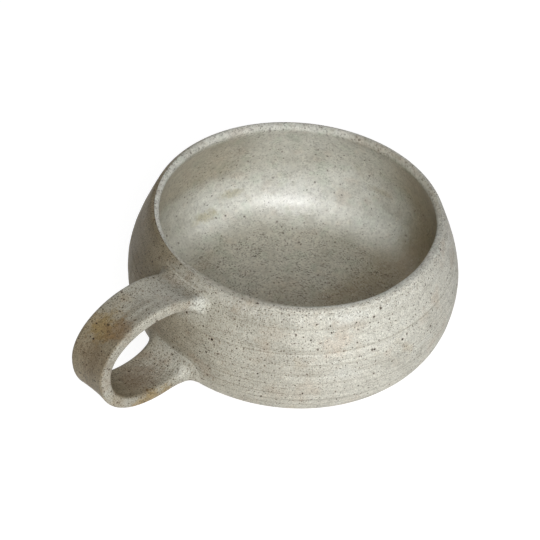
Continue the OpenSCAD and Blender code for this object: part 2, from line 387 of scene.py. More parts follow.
def outsideLift(skin, fromLip):
    deeper = turning["lowDepth"] - turning["topDepth"]
    depth = turning["topDepth"] + deeper * (1 - smooth(skin[:, 1:], *turning["topFrom"]))
    clear = smooth(fromLip, *turning["clearLip"]) * smooth(fromLip.max() - fromLip, *turning["clearLine"])
    raised = cutLines(skin, 2 * turning["cutWidth"])
    lines = turning["cutDepth"] * cutLines(skin) - turning["cutEdge"] * raised
    lines = lines + turning["jointLine"]["depth"] * jointLine(skin)
    fineLines = depth * ridges(fromLip, turning["outsideSeed"]) * (1 - nearJoint(skin))
    return -clear[:, None] * (fineLines + lines)


def insideGroove(skin, fromLip):
    return ridges(fromLip, turning["insideSeed"], turning["insideStretch"])


def facing(amount, middle, stays, fades, fadesBack=None):  # an amount on one side of the bowl
    away = (np.degrees(theta[None, :]) - middle + 180) % 360 - 180
    fades = np.where(away > 0, fades, fadesBack or fades)
    return amount * (1 - smooth(np.abs(away), stays, fades))


# the rim is a little thicker inside, by the handle and on the far side of the front
swell = {
    "places": [  # how much in mm, the middle in degrees, and how far round it stays and fades
        (1.7, 14.0, 8.0, 32.0),
        (1.2, 102.0, 8.0, 32.0),
    ],
    "rises": (0.0, 3.0),  # mm from the lip
    "fades": (4.0, 17.0),
}


def insideLift(skin, fromLip):
    clear = smooth(fromLip, *turning["insideClear"])[:, None]
    lines = -turning["insideDepth"] * clear * insideGroove(skin, fromLip)
    thicker = smooth(fromLip, *swell["rises"]) * (1 - smooth(fromLip, *swell["fades"]))
    return lines + thicker[:, None] * sum(facing(*place) for place in swell["places"])


# where the glaze lies thin and shows darker, and where shade and light are painted in: painted shade on the
# handle's side and inside on the walls and the floor, painted light in the heel band
thinAndPaintedLight = {
    # how thin and how much painted shade, the middle in degrees, how far round it stays and fades, and how
    # far it fades the other way
    # the handle's side: partly a thin coat, partly painted shade on the side away from the key lamp
    "handleSide": (1.0, -42.0, 12.0, 118.0, 66.0),
    "underLip": (0.5, 33.0, 14.0, 34.0),  # taken off outside
    "underLipFades": (1.5, 7.0),  # mm from the lip
    "feet": 0.48,  # round the handle's feet, where the glaze gathers
    "feetPatch": (3.0, 0.8, 0.6, 1.6),  # mm to the side, size, and how far it stays and fades
    # painted shade carried onto the far side of the handle's feet
    "feetFar": (0.42, 1.0, 14.0),  # added on their far side, and mm to that side
    # inside: a pale heel band, partly pooled glaze and partly the key lamp's light and highlight painted in,
    # with the wall above and the floor darker, partly painted shade
    "wall": 0.57,
    # painted light: a paler patch on the far wall round the highlight
    "wallPaintedLight": (0.16, 222.0, 8.0, 34.0),
    "heel": 0.0,
    "heelFrom": (24.0, 36.0),  # mm from the lip
    # these move the painted band and the floor's painted shade round the bowl
    "paintedBandHigher": (5.5, 190.0, 12.0, 38.0),  # mm
    "paintedBandLower": (2.0, -80.0, 20.0, 60.0),  # mm
    "floor": 0.64,
    "floorFrom": (51.0, 64.0),  # mm from the lip
    "floorWider": (4.5, -112.0, 10.0, 44.0),  # mm
    "floorMiddle": (0.12, 6.0, 26.0),  # added, between two distances from the axis in mm
    # painted shade on parts of the inside walls, the heel and the floor, where shade falls in the bowl
    "farWallShade": (1.0, 135.0, 22.0, 62.0),
    "farFloorShade": (0.65, 140.0, 20.0, 48.0),
    "wallFrom": (40.0, 54.0),  # mm from the axis, as the next two
    "farFrom": (4.0, 22.0),
    "nearFrom": (34.0, 50.0),
    "nearWallShade": (0.4, -80.0, 15.0, 55.0),
    "nearHeelShade": (0.46, -66.0, 9.0, 27.0),
    # the inside lip, darker by the handle and on the far side, partly painted shade
    "lip": 0.15,
    "lipByHandle": (0.5, 16.0, 24.0, 44.0),
    "lipFar": (0.5, 165.0, 22.0, 50.0),
    "lipFades": (1.5, 6.0),  # mm from the lip
    "strapRoot": 0.53,
    "strap": 0.95,
    "strapFrom": (18.0, 46.0),  # mm along the strap, as the next two
    "upperFootFades": (1.0, 22.0),
    "lowerFootFades": (3.0, 34.0),
    "strapEdge": 0.38,
}


# painted shade on the handle's side, mixed with a thin coat, lighter under the lip and round the feet
def outsideThinAndShade(skin, fromLip):
    underLip = 1 - smooth(fromLip, *thinAndPaintedLight["underLipFades"])[:, None]
    side = facing(*thinAndPaintedLight["handleSide"]) * (1 - facing(*thinAndPaintedLight["underLip"]) * underLip)
    return side + (thinAndPaintedLight["feet"] - side) * nearJoint(skin, *thinAndPaintedLight["feetPatch"])


# painted light and shade inside: a pale heel band for the lamp's light and highlight, and painted shade on
# the walls and the floor
def insideThinAndPaintedLight(skin, fromLip):
    fromAxis = skin[:, :1]
    run = fromLip[:, None] + facing(*thinAndPaintedLight["paintedBandHigher"])
    onHeel = smooth(run - facing(*thinAndPaintedLight["paintedBandLower"]), *thinAndPaintedLight["heelFrom"])
    onFloor = smooth(run + facing(*thinAndPaintedLight["floorWider"]), *thinAndPaintedLight["floorFrom"])
    onWall = smooth(fromAxis, *thinAndPaintedLight["wallFrom"])
    rows = thinAndPaintedLight["wall"] - facing(*thinAndPaintedLight["wallPaintedLight"])
    rows = rows + (thinAndPaintedLight["heel"] - rows) * onHeel
    rows = rows + (thinAndPaintedLight["floor"] - thinAndPaintedLight["heel"]) * onFloor
    rows = rows + falling(fromAxis, *thinAndPaintedLight["floorMiddle"])
    far = facing(*thinAndPaintedLight["farWallShade"]) * onWall + facing(*thinAndPaintedLight["farFloorShade"]) * (1 - onWall)
    near = facing(*thinAndPaintedLight["nearWallShade"]) * (1 - onHeel) + facing(*thinAndPaintedLight["nearHeelShade"]) * onHeel
    far = far * smooth(fromAxis, *thinAndPaintedLight["farFrom"])  # not on the middle of the floor
    near = near * smooth(fromAxis, *thinAndPaintedLight["nearFrom"])
    rows = rows + (1 - rows) * (far + near)
    lip = thinAndPaintedLight["lip"] + facing(*thinAndPaintedLight["lipByHandle"]) + facing(*thinAndPaintedLight["lipFar"])
    return lip + (rows - lip) * smooth(fromLip, *thinAndPaintedLight["lipFades"])[:, None]


# streaks are plain on the lower outside and on the floor, and fainter elsewhere
lining = {
    "shoulder": (0.8, 41.0, 49.0),  # taken off, between two heights in mm
    "insideWall": 0.4,
    "floor": (0.6, 48.0, 60.0),  # added, between two distances from the lip in mm
}


def outsideLined(skin, fromLip):
    return 1 - rising(skin[:, 1:], *lining["shoulder"])


def insideLined(skin, fromLip):
    return (lining["insideWall"] + rising(fromLip, *lining["floor"]))[:, None]


# fine iron specks crowd at the lip, where the coat is thin and on the floor, and keep off the heel
crowding = {  # how much, between two distances from the lip in mm
    "outsideLip": (0.5, 2.0, 7.0),
    "insideLip": (0.25, 2.0, 7.0),
    "insideWall": 0.4,
    "heel": (0.3, 27.0, 39.0),
    "floor": (0.9, 50.0, 63.0),
}


def outsidePepper(skin, fromLip):
    return np.maximum(outsideThinAndShade(skin, fromLip), falling(fromLip, *crowding["outsideLip"])[:, None])


def insidePepper(skin, fromLip):
    rows = crowding["insideWall"] + falling(fromLip, *crowding["insideLip"])
    rows = rows - rising(fromLip, *crowding["heel"]) + rising(fromLip, *crowding["floor"])
    return rows[:, None]


startAt = np.argmax(outsideClay[:, 1] >= bowl["glazeLine"])
outsideCoat = coat(
    "outside_glaze_coat", outsideClay[startAt:], bowl["step"], -1, outsideLift,
    {"groove": outsideGroove, "thinAndPaintedLight": outsideThinAndShade, "lined": outsideLined, "pepper": outsidePepper},
    "outside_glaze",
)
insideCoat = coat(
    "inside_glaze_coat", insideClay, bowl["insideStep"], 0, insideLift,
    {"groove": insideGroove, "thinAndPaintedLight": insideThinAndPaintedLight, "lined": insideLined, "pepper": insidePepper},
    "inside_glaze",
)

# the clay itself, which shows on the foot and the underside, with the marks of the trimming tool, in mm
trimming = {
    "seed": 81,
    "gap": 1.5,
    "lobes": 5,
    "depth": 0.14,
    "flat": (0.1, 0.7),  # heights, so that the ring it stands on stays flat
    "step": 0.3,  # between points where the clay is bare
    "hiddenStep": 1.6,
    "edgePoints": 24,
}
footIn, edge, edgePoints = bowl["footR"] - bowl["footRingW"], bowl["footEdge"], trimming["edgePoints"]
underside = np.vstack([
    [[0, bowl["footRecess"]], [footIn, bowl["footRecess"]]],
    arc([footIn + edge, edge], edge, 180, 270, edgePoints),
    arc([bowl["footR"] - edge, edge], edge, 270, 360, edgePoints),
    [foot],
])
bareLine, bareRun = evenly(np.vstack([underside, outsideClay[:startAt]]), trimming["step"])
hiddenLine = np.vstack([
    evenly(outsideClay[startAt:], trimming["hiddenStep"])[0],
    evenly(insideClay, trimming["hiddenStep"])[0][1:],
])
toolMarks = softNoise(trimming["seed"], bareRun[:, None] / trimming["gap"], share, trimming["lobes"])
toolMarks = 0.5 + 0.5 * toolMarks
unmarked = np.zeros((len(hiddenLine), bowl["turn"]))
clayLift = -trimming["depth"] * toolMarks * smooth(bareLine[:, 1:], *trimming["flat"])
points, faces, counts = revolve(np.vstack([bareLine, hiddenLine]), np.vstack([clayLift, unmarked]))
clayShades = {"groove": spread(np.vstack([toolMarks, unmarked]), counts)}
bareBowl = makePiece("thrown_bowl_clay", points, faces, clayShades, "thrown_bowl")

# the pulled strap and the coils worked in at its ends, in mm
strap = {
    "reach": 37.3,  # from the belly to the middle of the strap
    "upperZ": 51.0,
    "upperRise": 34.0,  # degrees
    "upperPull": 21.0,
    "bendUp": 15.5,
    "reachZ": 39.5,
    "bendDown": 16.5,
    "lowerPull": 24.5,
    "lowerFall": 16.0,  # degrees
    "lowerZ": 20.0,
    "widths": (19.5, 17.5, 20.0),  # upper joint, waist, lower joint
    "waistAt": 0.6,
    "thickness": 5.2,
    "edge": 1.0,
    "groove": 0.6,
    "slip": 0.1,
    "upperCoil": (6.0, 2.2, 4.4),  # run along the strap, spread up and down the wall and to the sides
    "lowerCoil": (8.0, 5.2, 5.2),
    "sink": 0.03,  # how far the coat's toe lies under the wall's glaze
    "rows": 76,  # in each half
    "coilRows": 20,
    "edgePoints": 7,  # round each edge
    "facePoints": 22,  # across each face
    "halvings": 40,  # steps that find the wall
    "clearUpper": (4.0, 12.0),  # smooth along the strap, from its upper and its lower end
    "clearLower": (5.0, 14.0),
    "dents": (91, 0.12, 9.0, 7),  # seed, depth, length and count round the strap, of finger marks
    "pulls": (92, 0.035, 26.0, 34),  # the same of the lines left by pulling
    "lastGap": 0.5,  # from the last point round the strap to the first
    "pool": 0.4,  # most that the glaze gathers in the corners at the joints
    "poolSteps": 60,
    "poolShare": 0.25,  # of each step
    "runFrom": 20.0,  # keeps the lip's marks off the strap
    "lined": 0.1,
    "pepper": 1.0,
}
wallLine = outsideClay[outsideClay[:, 1] <= shoulder[1]]
wallOut = outward(wallLine)


def wallAt(z):  # radius of the bare wall, and its outward direction there
    z = np.clip(z, bowl["footH"], shoulder[1])
    return np.interp(z, wallLine[:, 1], wallLine[:, 0]), np.interp(z, wallLine[:, 1], wallOut[:, 0])


def strapSection(halfW):  # rows of across, outward, and the direction out of the clay
    halfT, r = strap["thickness"] / 2 - bowl["glazeT"], strap["edge"]
    a = np.radians(np.linspace(0, 90, strap["edgePoints"]))
    corner = np.c_[halfW - r + r * np.cos(a), halfT - r + r * np.sin(a), np.cos(a), np.sin(a)]
    x = np.linspace(halfW - r, r - halfW, strap["facePoints"])[1:-1]
    face = np.c_[x, np.full_like(x, halfT), np.zeros_like(x), np.ones_like(x)]
    other = corner[::-1] * [-1, 1, -1, 1]
    top = np.vstack([corner, face, other])
    under = top[::-1] * [1, -1, 1, -1]
    top[:, 1] -= strap["groove"] * (1 - (top[:, 0] / halfW) ** 2)
    return np.vstack([top, under])


def halfWidth(along):
    top, waist, low = strap["widths"]
    at = strap["waistAt"]
    far = np.where(along < at, 1 - along / at, (along - at) / (1 - at))
    return (waist + (np.where(along < at, top, low) - waist) * far ** 2) / 2 - bowl["glazeT"]


def strapRings(path, at, along):
    rings = []
    for middle, way, half in zip(curve(path, at), curveWay(path, at), halfWidth(along)):
        s = strapSection(half)
        rings.append(np.c_[middle[0] - way[1] * s[:, 1], s[:, 0], middle[1] + way[0] * s[:, 1]])
    return np.array(rings)


def landOnWall(ring, way):  # each point runs on along way until it reaches the slip on the wall
    near, far = np.zeros(len(ring)), np.full(len(ring), strap["reach"])
    for _ in range(strap["halvings"]):
        middle = (near + far) / 2
        q = ring + middle[:, None] * way
        outside = np.hypot(q[:, 0], q[:, 1]) - strap["slip"] > wallAt(q[:, 2])[0]
        near, far = np.where(outside, middle, near), np.where(outside, far, middle)
    return ring + near[:, None] * way


def coilEdge(footRing, along, up, tall, wide):
    s = strapSection(halfWidth(np.array(along)))
    z = footRing[:, 2] + tall * s[:, 3] * up
    return np.c_[footRing[:, 1] + wide * s[:, 2], np.clip(z, bowl["footH"], shoulder[1])]


def laidOnWall(edgeLine, lift):
    radius, out = wallAt(edgeLine[:, 1])
    radius = radius + lift / out
    return np.c_[np.sqrt(radius ** 2 - edgeLine[:, 0] ** 2), edgeLine]


def coilRows(edgeRing, footRing, endRing):  # hollow face of a coil, from the wall to the strap
    s = np.linspace(0, 1, strap["coilRows"])[:, None, None]
    return (1 - s) ** 2 * edgeRing + 2 * s * (1 - s) * footRing + s * s * endRing


def runAlong(points):  # distance at each point
    return np.cumsum(np.r_[0, np.linalg.norm(np.diff(points, axis=0), axis=1)])


upperStart = np.array([wallAt(strap["upperZ"])[0], strap["upperZ"]])
lowerStart = np.array([wallAt(strap["lowerZ"])[0], strap["lowerZ"]])
furthest = np.array([bowl["bellyR"] + strap["reach"], strap["reachZ"]])
upperPath = [
    upperStart,
    upperStart + tilted(strap["upperPull"], strap["upperRise"]),
    furthest + [0, strap["bendUp"]],
    furthest,
]
lowerPath = [
    furthest,
    furthest - [0, strap["bendDown"]],
    lowerStart + tilted(strap["lowerPull"], -strap["lowerFall"]),
    lowerStart,
]
upperT = np.linspace(strap["upperCoil"][0] / (3 * strap["upperPull"]), 1, strap["rows"])
lowerT = np.linspace(0, 1 - strap["lowerCoil"][0] / (3 * strap["lowerPull"]), strap["rows"])
free = np.vstack([
    strapRings(upperPath, upperT, upperT / 2),
    strapRings(lowerPath, lowerT, (1 + lowerT) / 2)[1:],
])
upperWay, lowerWay = -curveWay(upperPath, upperT[:1])[0], curveWay(lowerPath, lowerT[-1:])[0]
upperFoot = landOnWall(free[0], np.array([upperWay[0], 0, upperWay[1]]))
lowerFoot = landOnWall(free[-1], np.array([lowerWay[0], 0, lowerWay[1]]))
upperEdge = coilEdge(upperFoot, 0.0, -upperWay[0], *strap["upperCoil"][1:])
lowerEdge = coilEdge(lowerFoot, 1.0, lowerWay[0], *strap["lowerCoil"][1:])
clayRows = np.vstack([
    coilRows(laidOnWall(upperEdge, strap["slip"]), upperFoot, free[0])[:-1],
    free,
    coilRows(laidOnWall(lowerEdge, strap["slip"]), lowerFoot, free[-1])[::-1][1:],
])
alongStep = np.gradient(clayRows, axis=0)
aroundStep = (np.roll(clayRows, -1, axis=1) - np.roll(clayRows, 1, axis=1)) / 2
rowOut = np.cross(aroundStep, alongStep)
rowOut /= np.linalg.norm(rowOut, axis=2)[:, :, None]
rowAt = runAlong(clayRows.mean(axis=1))
rowLeft = rowAt[-1] - rowAt
roundAt = runAlong(free[strap["rows"]])
roundShare = (roundAt / (roundAt[-1] + strap["lastGap"]))[None, :]

# finger dents and pulling lines, and the glaze that gathers at the joints
clearEnds = smooth(rowAt, *strap["clearUpper"]) * smooth(rowLeft, *strap["clearLower"])
seed, depth, length, lobes = strap["dents"]
dents = depth * (1 + softNoise(seed, rowAt[:, None] / length, roundShare, lobes)) / 2
seed, depth, length, lobes = strap["pulls"]
pulled = 0.5 + 0.5 * softNoise(seed, rowAt[:, None] / length, roundShare, lobes)
lift = bowl["glazeT"] - (dents + depth * pulled) * clearEnds[:, None]
glazeRows = clayRows + lift[:, :, None] * rowOut
level = glazeRows.copy()
for _ in range(strap["poolSteps"]):
    level[1:-1] += strap["poolShare"] * (level[2:] - 2 * level[1:-1] + level[:-2])
pool = np.clip(((level - glazeRows) * rowOut).sum(axis=2), 0, strap["pool"]) * (1 - clearEnds)[:, None]
glazeRows += pool[:, :, None] * rowOut
toe = bowl["glazeT"] - strap["sink"]
glazeRows[0], glazeRows[-1] = laidOnWall(upperEdge, toe), laidOnWall(lowerEdge, toe)
allRows = np.vstack([glazeRows, clayRows[::-1]])
rowCount, around = allRows.shape[:2]
index = np.arange(rowCount * around).reshape(rowCount, around)
nextRow, nextAround = np.roll(index, -1, axis=0), np.roll(index, -1, axis=1)
handleQuads = np.stack([index, nextAround, np.roll(nextAround, -1, axis=0), nextRow], axis=2)
handleFaces = handleQuads.reshape(-1, 4).tolist()

# how thin the glaze lies on the strap and at its feet, with painted shade carried onto the feet's far side
onEdge = strapSection(halfWidth(np.array(0.5)))[:, 2] ** 2  # 1 on the strap's sides
onStrap = smooth(rowAt, *thinAndPaintedLight["strapFrom"])[:, None]
strapThin = thinAndPaintedLight["strapRoot"] + (thinAndPaintedLight["strap"] - thinAndPaintedLight["strapRoot"]) * onStrap
strapThin = strapThin + (thinAndPaintedLight["strapEdge"] - strapThin) * onEdge[None, :]
fromWall = smooth(rowAt, *thinAndPaintedLight["upperFootFades"]) * smooth(rowLeft, *thinAndPaintedLight["lowerFootFades"])
feetThin = thinAndPaintedLight["feet"] + rising(-clayRows[:, :, 1], *thinAndPaintedLight["feetFar"])
strapThin = feetThin + (strapThin - feetThin) * fromWall[:, None]
handleShades = {
    "run": np.tile(roundAt + strap["runFrom"], (rowCount, 1)),
    "groove": np.vstack([pulled * clearEnds[:, None], np.zeros_like(pulled)]),
    "thinAndPaintedLight": np.vstack([strapThin, strapThin[::-1]]),
    "lined": np.full((rowCount, around), strap["lined"]),
    "pepper": np.full((rowCount, around), strap["pepper"]),
}
handleCoat = makePiece(
    "handle_glaze_coat", allRows.reshape(-1, 3), handleFaces, handleShades, "handle_glaze"
)


# materials
def hexColour(code):  # sRGB hex to linear
    parts = [int(code[i:i + 2], 16) / 255 for i in (1, 3, 5)]
    return (*[c / 12.92 if c <= 0.04045 else ((c + 0.055) / 1.055) ** 2.4 for c in parts], 1.0)


def addNode(tree, kind, inputs=None, **settings):  # a node or a socket among the inputs is linked
    node = tree.nodes.new("ShaderNode" + kind)
    for name, value in settings.items():
        setattr(node, name, value)
    for name, value in (inputs or {}).items():
        if isinstance(value, bpy.types.Node):
            value = value.outputs[0]
        if isinstance(value, bpy.types.NodeSocket):
            tree.links.new(value, node.inputs[name])
        else:
            node.inputs[name].default_value = value
    return node


def newMaterial(name):
    material = bpy.data.materials.new(name)
    material.use_nodes = True
    material.node_tree.nodes.clear()
    return material, material.node_tree


# what the finishes share
finish = {
    "shiftWay": (1.0, -1.0, 0.7),  # moves a pattern, so that no two lie alike
    "noiseEnds": {"From Min": 0.3, "From Max": 0.7},  # most of a noise's values lie between
    "speckEdge": (1.1, 0.8),  # waves in a mm and depth, of a speck's uneven outline
    "raggedEdge": [(4.0, 31.0, 0.75), (1.2, 37.0, 0.6)],  # size in mm, shift and depth, of a patch's outline
    "patchFades": (1.15, 0.2),  # share of a patch's reach
    "grooveFrom": (0.45, 0.95),
    "breaks": (2.2, 17.0, 3.0),  # size in mm, shift and detail, where the lip breaks to brown
    "breaksFrom": (0.42, 0.66),
    "dripSize": (1.3, 9.0),  # mm across and down
    "dripBand": ((1.5, 3.0), (9.0, 4.0)),  # mm from the lip, where they start and end
    "thinnestAndShadeWarmthFrom": (0.55, 1.0),
    "clusterShift": 71.0,
    "sheenPatches": (6.0, 43.0),  # size in mm and shift
    "dullFrom": (5.0, 2.5),  # mm from the lip
    "skinShift": 5.0,
}


def placeInMm(tree):
    place = addNode(tree, "TexCoord").outputs["Object"]
    return addNode(tree, "VectorMath", {0: place, 1: (1 / mm,) * 3}, operation="MULTIPLY")


def cloud(tree, place, size, shift, detail=2.0):  # uneven patches about size mm across
    shifts = [shift * way for way in finish["shiftWay"]]
    moved = addNode(tree, "VectorMath", {0: place, 1: shifts}, operation="ADD")
    waves = {"Vector": moved, "Scale": 1 / size, "Detail": detail, "Roughness": 0.55}
    return addNode(tree, "TexNoise", waves)


def drawnOut(tree, place, run, along, across):  # noise drawn out along the turning lines
    flat = addNode(tree, "VectorMath", {0: place, 1: (1 / along, 1 / along, 0)}, operation="MULTIPLY")
    step = addNode(tree, "Math", {0: run, 1: 1 / across}, operation="MULTIPLY")
    step = addNode(tree, "CombineXYZ", {"Z": step})
    drawn = addNode(tree, "VectorMath", {0: flat, 1: step}, operation="ADD")
    return addNode(tree, "TexNoise", {"Vector": drawn, "Scale": 1.0, "Detail": 2.0})


def band(tree, run, starts, ends):  # 1 in a band along the lip, with soft edges
    edges = []
    for low, high in (starts, ends):
        soft = {"Value": run, "From Min": low, "From Max": high}
        edges.append(addNode(tree, "MapRange", soft, interpolation_type="SMOOTHSTEP"))
    return addNode(tree, "Math", {0: edges[0], 1: edges[1]}, operation="MULTIPLY")


def tinted(tree, colour, code, pattern, low, high, amount=1.0, within=None, blend="MIX"):
    # another colour where a pattern runs from low to high, within a mask if there is one
    soft = {"Value": pattern, "From Min": low, "From Max": high, "To Max": amount}
    cover = addNode(tree, "MapRange", soft, interpolation_type="SMOOTHSTEP")
    if within is not None:
        cover = addNode(tree, "Math", {0: within, 1: cover}, operation="MULTIPLY")
    colours = {"Fac": cover, "Color1": colour, "Color2": hexColour(code)}
    return addNode(tree, "MixRGB", colours, blend_type=blend)


def mottled(tree, place, colour, layers):  # fine mottling, darker and paler by turns
    for size, dark, light, shift in layers:
        level = {"Value": cloud(tree, place, size, shift, 1.0), "To Min": dark, "To Max": light}
        level = addNode(tree, "MapRange", {**level, **finish["noiseEnds"]})
        colour = addNode(tree, "VectorMath", {0: colour, "Scale": level}, operation="SCALE")
    return colour


def specks(tree, place, colour, layers, pepper=0.0):
    # iron specks of uneven outline, each with a brown halo where the glaze has taken up the iron
    waves, wander = finish["speckEdge"]
    wavy = addNode(tree, "TexNoise", {"Vector": place, "Scale": waves, "Detail": 1.0}).outputs["Color"]
    wavy = addNode(tree, "VectorMath", {0: wavy, 1: (wander,) * 3, 2: place}, operation="MULTIPLY_ADD")
    for layer in layers:
        cell = layer["cell"]
        moved = addNode(tree, "VectorMath", {0: wavy, 1: (layer["shift"],) * 3}, operation="ADD")
        grain = addNode(tree, "TexVoronoi", {"Vector": moved, "Scale": 1 / cell})
        chance = addNode(tree, "SeparateColor", {"Color": grain.outputs["Color"]}).outputs
        sparse, dense = layer["share"]
        kept = addNode(tree, "MapRange", {"Value": pepper, "To Min": sparse, "To Max": dense})
        kept = addNode(tree, "Math", {0: chance["Red"], 1: kept}, operation="LESS_THAN")
        small, large = [radius / cell for radius in layer["radius"]]
        radius = addNode(tree, "MapRange", {"Value": chance["Green"], "To Min": small, "To Max": large})
        away = addNode(tree, "Math", {0: grain.outputs["Distance"], 1: radius}, operation="DIVIDE")
        strength = addNode(tree, "MapRange", {"Value": chance["Blue"], "To Min": layer["faint"]})
        strength = addNode(tree, "Math", {0: strength, 1: kept}, operation="MULTIPLY")
        for code, reach, core, amount in layer["rings"]:
            colour = tinted(tree, colour, code, away, reach, core, amount, strength)
    return colour


def patches(tree, place, colour, layers):  # patches at a known place, with ragged edges
    rough = 0.0
    for size, shift, depth in finish["raggedEdge"]:
        wave = cloud(tree, place, size, shift, 3.0)
        wave = addNode(tree, "MapRange", {"Value": wave, "To Min": -depth, "To Max": depth})
        rough = addNode(tree, "Math", {0: rough, 1: wave}, operation="ADD")
    for code, middle, reach, amount in layers:
        away = addNode(tree, "VectorMath", {0: place, 1: middle}, operation="SUBTRACT")
        away = addNode(tree, "VectorMath", {0: away, 1: [1 / r for r in reach]}, operation="MULTIPLY")
        away = addNode(tree, "VectorMath", {0: away}, operation="LENGTH").outputs["Value"]
        away = addNode(tree, "Math", {0: away, 1: rough}, operation="ADD")
        colour = tinted(tree, colour, code, away, *finish["patchFades"], amount)
    return colour


def glaze(name, look):
    material, tree = newMaterial(name)
    place = placeInMm(tree)
    shade = {}
    for layer in ("run", "groove", "thinAndPaintedLight", "lined", "pepper"):
        shade[layer] = addNode(tree, "Attribute", attribute_name=layer).outputs["Fac"]
    colour = hexColour(look["base"])
    for code, size, low, high, amount, shift in look["clouds"]:
        colour = tinted(tree, colour, code, cloud(tree, place, size, shift), low, high, amount)

    # streaks along the turning lines
    drawn = drawnOut(tree, place, shade["run"], *look["streak"]["size"])
    for code, low, high, amount in look["streak"]["tints"]:
        colour = tinted(tree, colour, code, drawn, low, high, amount, shade["lined"])
    code, amount = look["grooveTint"]
    colour = tinted(tree, colour, code, shade["groove"], *finish["grooveFrom"], amount)

    # the lip, where the glaze breaks to brown and has run a little
    lip = look["lip"]
    broken = cloud(tree, place, *finish["breaks"])
    line = band(tree, shade["run"], *lip["line"])
    colour = tinted(tree, colour, lip["brown"], broken, *finish["breaksFrom"], lip["amount"], line)
    across, down = [1 / size for size in finish["dripSize"]]
    tall = addNode(tree, "VectorMath", {0: place, 1: (across, across, down)}, operation="MULTIPLY")
    drips = addNode(tree, "TexNoise", {"Vector": tall, "Scale": 1.0, "Detail": 2.0})
    under = band(tree, shade["run"], *finish["dripBand"])
    for code, low, high, amount in lip["drips"]:
        colour = tinted(tree, colour, code, drips, low, high, amount, under)

    # the darker clay shows through a thin coat, and warmer where it is thinnest; the same mix lays the
    # painted shade, warmed as in bounced light, and leaves the painted light pale
    through = {"Fac": shade["thinAndPaintedLight"], "Color1": colour, "Color2": hexColour(look["thinCoatAndShade"])}
    colour = addNode(tree, "MixRGB", through, blend_type="MULTIPLY")
    colour = tinted(tree, colour, look["thinnestAndShadeWarmth"], shade["thinAndPaintedLight"], *finish["thinnestAndShadeWarmthFrom"], blend="MULTIPLY")
    colour = patches(tree, place, colour, look["patches"])

    # fine mottling, and dark flecks that crowd with the specks
    colour = mottled(tree, place, colour, look["mottle"])
    flecks = look["flecks"]
    crowd = addNode(tree, "MapRange", {"Value": shade["pepper"], "To Min": flecks["sparse"]})
    size, low, high = flecks["clusters"]
    cluster = {"Value": cloud(tree, place, size, finish["clusterShift"]), "To Min": low, "To Max": high}
    cluster = addNode(tree, "MapRange", {**cluster, **finish["noiseEnds"]})
    crowd = addNode(tree, "Math", {0: crowd, 1: cluster}, operation="MULTIPLY")
    drawn = drawnOut(tree, place, shade["run"], *flecks["size"])
    for code, low, high, amount in flecks["layers"]:
        colour = tinted(tree, colour, code, drawn, low, high, amount, crowd)
    colour = specks(tree, place, colour, look["specks"], shade["pepper"])

    # satin surface, a little uneven and duller at the lip, with the fine skin of a fired glaze
    low, high = look["roughness"]
    gloss = {"Value": cloud(tree, place, *finish["sheenPatches"]), "To Min": low, "To Max": high}
    gloss = addNode(tree, "MapRange", {**gloss, **finish["noiseEnds"]})
    low, high = finish["dullFrom"]
    dull = {"Value": shade["run"], "From Min": low, "From Max": high, "To Max": lip["dull"]}
    dull = addNode(tree, "MapRange", dull, interpolation_type="SMOOTHSTEP")
    gloss = addNode(tree, "Math", {0: gloss, 1: dull}, operation="ADD")
    skin = cloud(tree, place, look["skinSize"], finish["skinShift"])
    bump = addNode(tree, "Bump", {"Height": skin, "Distance": look["skinDepth"] * mm})
    shader = addNode(tree, "BsdfPrincipled", {
        "Base Color": colour,
        "Roughness": gloss,
        "Normal": bump,
        "IOR": look["ior"],
        "Specular IOR Level": look["sheen"],
    })
    addNode(tree, "OutputMaterial", {"Surface": shader})
    print("material", name, len(tree.nodes), "nodes")
    return material


